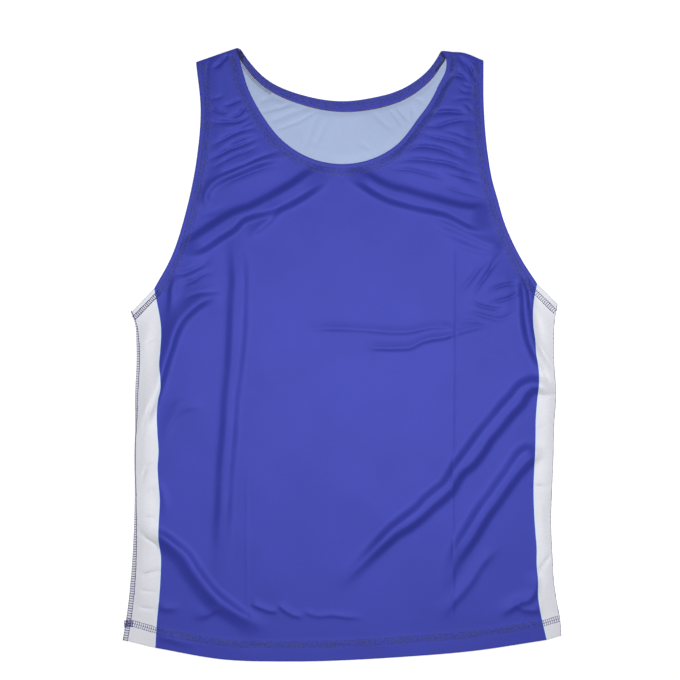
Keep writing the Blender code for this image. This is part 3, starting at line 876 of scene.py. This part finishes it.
def lowestRound(points, xy, heights, cell):  # the lowest of the heights within about two cells of each point
    reach = 2
    corner = xy.min(axis=0) - 2 * reach * cell
    count = np.ceil((xy.max(axis=0) - corner) / cell).astype(int) + 2 * reach
    lowest = np.full(count, np.inf)
    column, row = np.floor((xy - corner) / cell).astype(int).T
    np.minimum.at(lowest, (column, row), heights)
    column, row = np.floor((points - corner) / cell).astype(int).T
    steps = range(-reach, reach + 1)
    return np.minimum.reduce([lowest[column + a, row + b] for a in steps for b in steps])


def makeFrontPanel():
    p = frontPanel
    ring = outlineOf("frontNeck", p["meshStep"])
    groups = clothPoints(ring, p["hemRows"], p["meshStep"], p["foldStep"], creased)
    extra = puckerPoints(p["foldStep"])
    extra = extra[insideOf(extra, ring)]
    extra = extra[measureFrom(extra, closedRing(ring))[0] > p["hemRows"][-1] + p["pastHemRows"]]
    groups[-1] = firstInCell(np.concatenate([extra, groups[-1]]), p["finestGap"])
    xy, faces = flatTriangles(ring, groups)
    smooth, _, edge = frontForm(xy)
    top = smooth - p["rimRound"] * roundRim(edge, p["rimWidth"])
    # the underside is coarser, and lies under the lowest of the cloth round each of its points
    underXY, underFaces = flatTriangles(ring, clothPoints(ring, p["underRows"], p["underStep"]))
    _, wall, edge = frontForm(underXY)
    under = lowestRound(underXY, xy, top, p["underStep"] / 2)
    under += p["rimUnder"] * nearEdge(edge, p["rimWidth"]) - wall
    under = np.maximum(under, p["overBack"])
    band = np.concatenate([bandDistance(xy), bandDistance(underXY)])
    return clothShell("frontPanelCloth", (xy, faces, top), (underXY, underFaces, under),
                      {"sideBand": band}, (knitFront, knitInside))


frontPiece = makeFrontPanel()
print("front panel:", len(frontPiece.data.polygons), "triangles")

# back panel

backPanel = {
    "outlineStep": 3.2,
    "meshStep": 6.5,
    "neckStep": 1.9,
    "hemRows": (0.4, 1.2, 3.0, 5.5, 8.5, 12.0),
    "top": 0.8,
    "rimRound": 0.35,
    "rimUnder": 0.2,
    "rimWidth": 0.8,
    "neckTop": ((110, 375), (-110, 375)),  # with the front neck, these close a ring round all that shows
    "pastNeck": 14,  # the fine mesh goes on this far under the front panel
    "looseHeight": 1.25,  # of the pale inside, inside the neck
    "underFront": 0.3,  # the share of that height right under the front neck's edge
    "frontRoom": 12,  # to each side of that edge, where the height changes
    "hemRoom": (11, 19),  # from the back neck's edge, where the height starts and is whole
    "rippleFade": 9,
    "ripplePower": 1.4,
    "neckRipples": (  # share of the loose height, width and path of each soft groove on the pale inside
        (1.0, 6, ((-102, 283), (-93, 285), (-85, 287), (-73, 290), (-61, 294), (-52, 296))),
        (0.6, 11, ((-89, 273), (-73, 278), (-61, 283), (-49, 287), (-35, 291))),
        (0.7, 5, ((-82, 263), (-66, 268), (-51, 274), (-40, 280), (-28, 286))),
        (0.4, 12, ((-44, 240), (-40, 252), (-35, 265), (-31, 277), (-26, 286))),
        (0.4, 10, ((-34, 241), (-24, 261), (-18, 277))),
        (0.6, 10, ((-100, 295), (-86, 301), (-68, 303))),
        (1.0, 6, ((65, 292), (68, 286), (73, 280), (80, 272))),
        (0.9, 6, ((82, 292), (84, 285), (83, 279), (79, 272))),
        (0.8, 6, ((54, 290), (60, 283), (65, 277), (72, 266))),
        (0.6, 10, ((35, 287), (41, 280), (48, 273), (60, 263))),
        (0.35, 11, ((18, 252), (27, 245), (38, 239))),
        (0.7, 7, ((83, 302), (91, 299), (99, 294))),
    ),
}


def rippleDepth(xy):  # of the soft grooves, as a share of the loose height
    p = backPanel
    depth = np.zeros(len(xy))
    for share, width, path in p["neckRipples"]:
        line = smoothCurve(path, 1.0)
        away, _, along = measureFrom(xy, line)
        ends = smoothStep(np.minimum(along, lengthAlong(line)[-1] - along), -2, p["rippleFade"])
        depth += share * ends * np.clip(1 - away / (width / 2), 0, 1) ** p["ripplePower"]
    return np.minimum(depth, 1)


def looseRoom(xy, frontNeck):  # 1 where the pale cloth lies loose, clear of its hem and of the front panel
    p = backPanel
    shown = insideOf(xy, np.concatenate([frontNeck, p["neckTop"]]))
    toFront = np.where(shown, 1, -1) * measureFrom(xy, frontNeck)[0]
    toBack = measureFrom(xy, smoothCurve(pattern["backNeck"], 2))[0]
    room = (smoothStep(toFront, 0, p["frontRoom"]) * (1 - p["underFront"])
            + smoothStep(toFront, -p["frontRoom"], 0) * p["underFront"])
    return np.minimum(room, smoothStep(toBack, *p["hemRoom"]))


def makeBackPanel():
    p = backPanel
    ring = outlineOf("backNeck", p["outlineStep"])
    frontNeck = smoothCurve(pattern["frontNeck"], 4)
    fineRing = np.concatenate([frontNeck - leftOf(frontNeck) * p["pastNeck"], p["neckTop"]])
    xy, faces = flatTriangles(ring, clothPoints(ring, p["hemRows"], p["meshStep"], p["neckStep"],
                                                lambda points: insideOf(points, fineRing)))
    edge = measureFrom(xy, closedRing(ring))[0]
    top = p["top"] + p["looseHeight"] * looseRoom(xy, frontNeck) * (1 - rippleDepth(xy))
    top -= p["rimRound"] * roundRim(edge, p["rimWidth"])
    under = p["rimUnder"] * nearEdge(edge, p["rimWidth"])
    return clothShell("backPanelCloth", (xy, faces, top), (xy, faces, under),
                      {"sideBand": np.tile(bandDistance(xy), 2)}, (knitBack, knitInside), innerAbove=True)


backPiece = makeBackPanel()
print("back panel:", len(backPiece.data.polygons), "triangles")

# the back neck's turned edge

backNeckHem = {
    "width": ((0, 6.6), (0.12, 8.2), (0.22, 9.3), (0.3, 10.4), (0.42, 11.7), (0.5, 12.3), (0.56, 12.8),
              (0.64, 13.4), (0.76, 12.4), (0.88, 10.4), (0.94, 9), (1, 7.4)),  # by share of the way along
    "rows": (0, 0.03, 0.08, 0.2, 0.35, 0.5, 0.65, 0.8, 0.92, 0.97, 1),  # of points, by share of the width
    "step": 2.6,
    "under": 0.85,
    "top": 1.55,
    "rimRound": 0.35,
    "rimWidth": 0.8,
    "needleLines": (0.2, 0.62),  # by share of the width
    "stitchGroove": 0.12,
    "grooveHalf": 0.12,
}


def makeBackNeckHem():
    p = backNeckHem
    edge = smoothCurve(pattern["backNeck"], p["step"])
    inward = -leftOf(edge)
    count = len(edge)
    width = np.interp(np.linspace(0, 1, count), *zip(*p["width"]))
    xy = np.concatenate([edge + inward * width[:, None] * share for share in p["rows"]])
    faces = []
    for row in range(len(p["rows"]) - 1):
        for k in range(count - 1):
            a, b = row * count + k, (row + 1) * count + k
            faces += [(a, b, b + 1), (a, b + 1, a + 1)]
    faces = np.array(faces)
    away = np.concatenate([min(share, 1 - share) * width for share in p["rows"]])
    across = np.repeat(p["rows"], count)
    groove = sum(hump((across - d) / p["grooveHalf"]) for d in p["needleLines"])
    top = p["top"] - p["rimRound"] * roundRim(away, p["rimWidth"]) - p["stitchGroove"] * groove
    under = np.full(len(xy), p["under"])
    return clothShell("backNeckHemCloth", (xy, faces, top), (xy, faces, under), {}, (knitHem, knitHem))


hemPiece = makeBackNeckHem()
print("back neck hem:", len(hemPiece.data.polygons), "triangles")

# stitching: rows of thread joined by short cross threads, along each turned edge and seam

stitching = {
    "pitch": 2.8,
    "width": 7.8,
    "threadRadius": 0.33,
    "crossRadius": 0.28,
    "lift": 0.1,
    "seed": 7,
    "middleRow": True,
    "offCloth": 1.2,  # the height of a stitch that hangs over the cloth's edge
    "dashShare": 0.46,  # half a stitch's length, by the pitch
    "slant": 0.12,  # of the cross threads, by the pitch
    "unevenness": 0.07,  # of the stitches' size
    "neckInset": 8.7,  # from the edge to the middle of the stitching
    "neckStart": 4,  # from the left shoulder's seam
    "armholeInset": 8.6,
    "leftWhiteInset": 7.1,
    "leftWhiteLonger": (1.5, 0),  # at its start and end
    "rightWhiteInset": 8.6,
    "rightWhiteLonger": (0, 3.5),
    "hemInset": ((0, 19.8), (0.9, 19.8), (1, 21.8)),  # share of the way from the right, inset
    "hemLonger": (2.2, 0.5),
    "leftSideInset": (  # share of the way up, inset: the seam turns under where it is small
        (0, 3.0), (0.17, 2.8), (0.245, 1.9), (0.34, 0.5), (0.43, -0.8), (0.52, -1.7), (0.62, -1.5),
        (0.67, -0.7), (0.72, 0.5), (0.8, 0.9), (0.9, 0.6), (0.94, -0.6), (1, -1.6)),
    "rightSideInset": -2.4,
    "sideTurn": 1.05,  # how far a side's stitches go down over the edge before they turn in below
    "sideStart": 0.1,  # inside the edge, where they start down
    "lowestThread": 0.02,  # above the floor
    "tackCentre": (-251.2, -317.4),
    "tackPoints": (-4.4, -2, 0, 2, 4.4),
    "backNeckInset": 0.42,  # by share of the hem's width
    "pastHem": 1.9,  # from the hem's inner edge to the middle of the looper threads
    "hemEdgeInset": 0.2,
    "leftSeamEnd": ((-123.4, 357.4), (-121.2, 352.6), (-118.6, 347.4), (-117, 344.6)),
    "leftSeamTop": ((-119.8, 355.8), (-117.8, 352), (-116.2, 349)),
    "rightSeamEnd": ((116.9, 353), (118.6, 351.6), (120.2, 349.8), (121.4, 347.6)),
    "rightSeamTop": ((120.6, 346.2), (117.6, 342), (113.8, 337.4), (110, 333.4)),
}


def stitchTree():  # a line of stitches along a flat guide, laid on the cloth below it
    tree = bpy.data.node_groups.new("ladderStitches", "GeometryNodeTree")
    nt = NodeTree(tree)
    sockets = tree.interface
    sockets.new_socket("Geometry", in_out="INPUT", socket_type="NodeSocketGeometry")
    for name, kind in (("Pitch", "Float"), ("Row Width", "Float"), ("Thread Radius", "Float"),
                       ("Cross Radius", "Float"), ("Lift", "Float"), ("Height If Off Cloth", "Float"),
                       ("Seed", "Int"), ("Middle Row", "Bool"), ("Cloth", "Object"), ("Thread", "Material")):
        sockets.new_socket(name, in_out="INPUT", socket_type="NodeSocket" + kind)
    sockets.new_socket("Geometry", in_out="OUTPUT", socket_type="NodeSocketGeometry")
    given = nt.add("NodeGroupInput").outputs

    def times(value, share):
        return nt.maths("MULTIPLY", value, share)

    def point(x, y, z):
        node = nt.add("ShaderNodeCombineXYZ")
        for socket, value in zip(node.inputs, (x, y, z)):
            nt.put(socket, value)
        return node.outputs[0]

    def thread(start, middle, end, radius):
        bow = nt.add("GeometryNodeCurveQuadraticBezier", {"Resolution": 4, "Start": point(*start),
                                                          "Middle": point(*middle), "End": point(*end)})
        roundThread = nt.add("GeometryNodeCurvePrimitiveCircle", {"Resolution": 5, "Radius": radius})
        sweep = {"Curve": bow.outputs[0], "Profile Curve": roundThread.outputs["Curve"], "Fill Caps": True}
        return nt.add("GeometryNodeCurveToMesh", sweep).outputs[0]

    upper = times(given["Row Width"], 0.5)
    lower = times(upper, -1.0)
    ahead = times(given["Pitch"], stitching["dashShare"])
    back = times(ahead, -1.0)
    dip = times(given["Thread Radius"], -0.9)
    rise = times(given["Thread Radius"], 1.1)
    slant = times(given["Pitch"], stitching["slant"])
    antiSlant = times(given["Pitch"], -stitching["slant"])
    rows = [thread((back, y, dip), (0.0, y, rise), (ahead, y, dip), given["Thread Radius"])
            for y in (upper, lower, 0.0)]
    rows[2] = nt.add("GeometryNodeSwitch", {"Switch": given["Middle Row"], "True": rows[2]},
                     input_type="GEOMETRY").outputs[0]
    radius = given["Cross Radius"]
    crosses = [thread((slant, lower, dip), (0.0, times(upper, -0.5), radius), (antiSlant, 0.0, 0.0), radius),
               thread((antiSlant, 0.0, 0.0), (0.0, times(upper, 0.5), radius), (slant, upper, dip), radius)]
    stitch = nt.add("GeometryNodeJoinGeometry")
    for geometry in rows + crosses:
        tree.links.new(geometry, stitch.inputs[0])

    line = nt.add("GeometryNodeMeshToCurve", {"Mesh": given["Geometry"]}).outputs[0]
    spaced = nt.add("GeometryNodeResampleCurve", {"Curve": line, "Length": given["Pitch"]}, mode="LENGTH")
    tangent = nt.add("GeometryNodeInputTangent").outputs[0]
    facing = nt.add("FunctionNodeAlignRotationToVector", {"Vector": tangent}, axis="X", pivot_axis="Z")
    uneven = stitching["unevenness"]
    wobble = nt.add("FunctionNodeRandomValue", {"Min": 1 - uneven, "Max": 1 + uneven, "Seed": given["Seed"]},
                    data_type="FLOAT")
    size = next(s for s in wobble.outputs if s.enabled)
    stitches = nt.add("GeometryNodeInstanceOnPoints", {"Points": spaced.outputs[0], "Scale": size,
                                                       "Instance": stitch.outputs[0],
                                                       "Rotation": facing.outputs[0]})
    real = nt.add("GeometryNodeRealizeInstances", {"Geometry": stitches.outputs[0]}).outputs[0]

    # the stitches are made flat at height nought, then dropped on to the cloth below them
    below = nt.add("GeometryNodeObjectInfo", {"Object": given["Cloth"]}, transform_space="RELATIVE")
    at = nt.add("GeometryNodeInputPosition").outputs[0]
    above = nt.add("ShaderNodeVectorMath", {0: at, 1: (0.0, 0.0, 1.0)}, operation="ADD").outputs[0]
    ray = nt.add("GeometryNodeRaycast", {"Target Geometry": below.outputs["Geometry"], "Ray Length": 2.0,
                                         "Source Position": above, "Ray Direction": (0.0, 0.0, -1.0)})
    hitHeight = nt.add("ShaderNodeSeparateXYZ", {"Vector": ray.outputs["Hit Position"]}).outputs["Z"]
    ground = nt.add("GeometryNodeSwitch", {"Switch": ray.outputs["Is Hit"], "True": hitHeight,
                                           "False": given["Height If Off Cloth"]}, input_type="FLOAT")
    raised = point(0.0, 0.0, nt.maths("ADD", ground.outputs[0], given["Lift"]))
    laid = nt.add("GeometryNodeSetPosition", {"Geometry": real, "Offset": raised}).outputs[0]
    dyed = nt.add("GeometryNodeSetMaterial", {"Geometry": laid, "Material": given["Thread"]}).outputs[0]
    nt.add("NodeGroupOutput", {"Geometry": dyed})
    return tree


def setInput(modifier, tree, name, value):
    socket = next(s for s in tree.interface.items_tree if s.name == name and s.in_out == "INPUT")
    modifier[socket.identifier] = value


def sewAlong(name, line, onto, thread=hemThread, **changes):
    p = {**stitching, **changes}
    guide = bpy.data.meshes.new(name + "Line")
    guide.from_pydata([(x * mm, y * mm, 0) for x, y in line], [(k, k + 1) for k in range(len(line) - 1)], [])
    sewing = linkObject(name + "Line", guide)
    modifier = sewing.modifiers.new("stitches", "NODES")
    modifier.node_group = ladder
    for socket, key in (("Pitch", "pitch"), ("Row Width", "width"), ("Thread Radius", "threadRadius"),
                        ("Cross Radius", "crossRadius"), ("Lift", "lift"),
                        ("Height If Off Cloth", "offCloth")):
        setInput(modifier, ladder, socket, p[key] * mm)
    for socket, value in (("Seed", p["seed"]), ("Middle Row", p["middleRow"]), ("Cloth", onto),
                          ("Thread", thread)):
        setInput(modifier, ladder, socket, value)
    bpy.context.view_layer.update()
    evaluated = sewing.evaluated_get(bpy.context.evaluated_depsgraph_get())
    mesh = bpy.data.meshes.new_from_object(evaluated)
    bpy.data.objects.remove(sewing)
    mesh.name = name
    mesh.shade_smooth()
    print(name, len(mesh.polygons), "faces")
    return linkObject(name, mesh)


def insetLine(names, inset, step=2.0):
    # the pattern's line, moved in from the garment's edge, evenly or by a table of (share along, inset)
    line = joined(names, step)
    if not isinstance(inset, (int, float)):
        along = lengthAlong(line)
        inset = np.interp(along / along[-1], *zip(*inset))[:, None]
    return line - leftOf(line) * inset


def longer(line, start, end):  # run straight on at its ends
    ahead, on = line[0] - line[1], line[-1] - line[-2]
    first = [line[0] + ahead / np.linalg.norm(ahead) * start] if start else []
    last = [line[-1] + on / np.linalg.norm(on) * end] if end else []
    return np.array([*first, *line, *last])


def clearOf(line, names, gap):  # the part of a line that keeps a gap from another line
    return line[measureFrom(line, joined(names, 1.0))[0] > gap]


def wrapRound(piece, names, outward):  # stitches past the garment's side turn down over it, then in below
    mesh = piece.data
    points = np.empty(len(mesh.vertices) * 3)
    mesh.vertices.foreach_get("co", points)
    points = points.reshape(-1, 3) / mm
    side = measureFrom(points[:, :2], joined(names, 1.0))[1]
    past = np.maximum(side + stitching["sideStart"], 0)
    drop = stitching["sideTurn"]
    points[:, 0] -= outward * (past + np.maximum(past - drop, 0))
    points[:, 2] = np.maximum(points[:, 2] - np.minimum(past, drop), stitching["lowestThread"])
    mesh.vertices.foreach_set("co", (points * mm).ravel())
    mesh.update()


def sewFrontPanel():  # each seam is its name, line and thread, and what is its own in place of the above
    p = stitching
    leftSide = insetLine(["leftSide"], p["leftSideInset"])
    rightSide = insetLine(["rightSide"], p["rightSideInset"])
    neck = insetLine(["frontNeck"], p["neckInset"])
    neck = clearOf(neck, ["leftShoulder", "leftNeckCorner"], p["neckStart"])
    leftArmhole = insetLine(["leftArmhole"], p["armholeInset"])
    rightArmhole = insetLine(["rightArmhole"], p["armholeInset"])
    leftWhite = longer(insetLine(["leftArmholeWhite"], p["leftWhiteInset"], 1.0), *p["leftWhiteLonger"])
    rightWhite = longer(insetLine(["rightArmholeWhite"], p["rightWhiteInset"], 1.0), *p["rightWhiteLonger"])
    bottom = insetLine(["hemRightWhite", "hemBlue", "hemLeftWhite"], p["hemInset"])
    bottom = longer(bottom, *p["hemLonger"])
    tackX, tackY = p["tackCentre"]
    tack = [(tackX + along, tackY) for along in p["tackPoints"]]
    edge = {"pitch": 2.6, "threadRadius": 0.3, "crossRadius": 0.25}
    ladderOnly = {"middleRow": False}
    # a few points are left off where stitches would run past the cloth or over those of another seam
    seams = (
        ("leftSideStitches", leftSide, navyThread, ladderOnly | {
            "width": 5.4, "pitch": 2.9, "threadRadius": 0.42, "crossRadius": 0.4, "seed": 19}),
        ("rightSideStitches", rightSide[2:], hemThread, ladderOnly | {"width": 5.4, "seed": 21}),
        ("neckStitches", neck[:-5], hemThread, edge | {"width": 8.0}),
        ("leftArmholeStitches", leftArmhole[:-2], hemThread, edge | {"seed": 11}),
        ("rightArmholeStitches", rightArmhole[2:], hemThread, edge | {"seed": 13}),
        ("leftWhiteArmholeStitches", leftWhite, navyThread, ladderOnly | {
            "width": 4.6, "pitch": 2.4, "threadRadius": 0.48, "crossRadius": 0.46, "seed": 29}),
        ("rightWhiteArmholeStitches", rightWhite, navyThread, ladderOnly | {
            "width": 5.2, "pitch": 2.6, "threadRadius": 0.36, "crossRadius": 0.36, "seed": 31}),
        ("bottomHemStitches", bottom, hemThread, {
            "width": 6.7, "pitch": 2.5, "threadRadius": 0.3, "crossRadius": 0.27, "seed": 17}),
        ("sideHemTack", tack, hemThread, {
            "width": 6.6, "pitch": 1.5, "threadRadius": 0.5, "crossRadius": 0.5, "seed": 37}),
    )
    sewn = {name: sewAlong(name, line, frontPiece, thread, **changes)
            for name, line, thread, changes in seams}
    wrapRound(sewn["leftSideStitches"], ["leftSide"], -1)
    wrapRound(sewn["rightSideStitches"], ["rightSide"], 1)
    return list(sewn.values())


def hemLine(insetAt):  # along the back neck's hem, at an inset worked out from the hem's width there
    return insetLine(["backNeck"], [(share, insetAt(width)) for share, width in backNeckHem["width"]])


def sewBackNeck():  # the hem's own stitching, and the black thread at the ends of both shoulder seams, which is also painted shadow of the gaps there
    p = stitching
    rows = hemLine(lambda width: width * p["backNeckInset"])
    edge = hemLine(lambda width: width - p["hemEdgeInset"])
    loopers = hemLine(lambda width: width + p["pastHem"])
    thin = {"middleRow": False, "threadRadius": 0.2, "crossRadius": 0.16}
    seamEnd = {"middleRow": False, "threadRadius": 0.4, "crossRadius": 0.35, "offCloth": 1.6}
    seams = (
        ("backNeckStitches", rows, hemPiece, hemThread, {"width": 5.0, "offCloth": 1.5, "seed": 23}),
        ("backNeckEdgeThread", edge, hemPiece, edgeThread, thin | {
            "width": 0.8, "offCloth": 1.3, "seed": 41}),
        ("backNeckLooperThreads", loopers[3:30], backPiece, looperThread, {
            "width": 3.6, "pitch": 1.9, "threadRadius": 0.22, "crossRadius": 0.2, "offCloth": 1.0,
            "seed": 43}),
        ("leftShoulderSeamEnd", p["leftSeamEnd"], frontPiece, seamAndShadowThread, seamEnd | {
            "width": 1.5, "pitch": 1.4, "threadRadius": 0.45, "crossRadius": 0.4, "seed": 47}),
        ("leftShoulderSeamTop", p["leftSeamTop"], frontPiece, seamAndShadowThread, seamEnd | {
            "width": 2.2, "pitch": 1.5, "seed": 48}),
        ("rightShoulderSeamEnd", p["rightSeamEnd"], frontPiece, seamAndShadowThread, seamEnd | {
            "width": 2.4, "pitch": 1.4, "seed": 53}),
        ("rightShoulderSeamTop", p["rightSeamTop"], frontPiece, seamAndShadowThread, seamEnd | {
            "width": 1.2, "pitch": 1.6, "seed": 54}),
    )
    return [sewAlong(name, line, onto, thread, **changes) for name, line, onto, thread, changes in seams]


ladder = stitchTree()
frontStitches = sewFrontPanel()
backStitches = sewBackNeck()

# each piece hangs from the root, and the model's part that it stands for is hidden

for piece, node, slot in ((frontPiece, "front_panel", "blue_white_knit"),
                          (backPiece, "back_panel", "back_knit"),
                          (hemPiece, "back_neck_hem", "blue_hem_knit")):
    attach(piece, "root")
    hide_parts(node)
for piece in frontStitches + backStitches:
    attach(piece, "root")
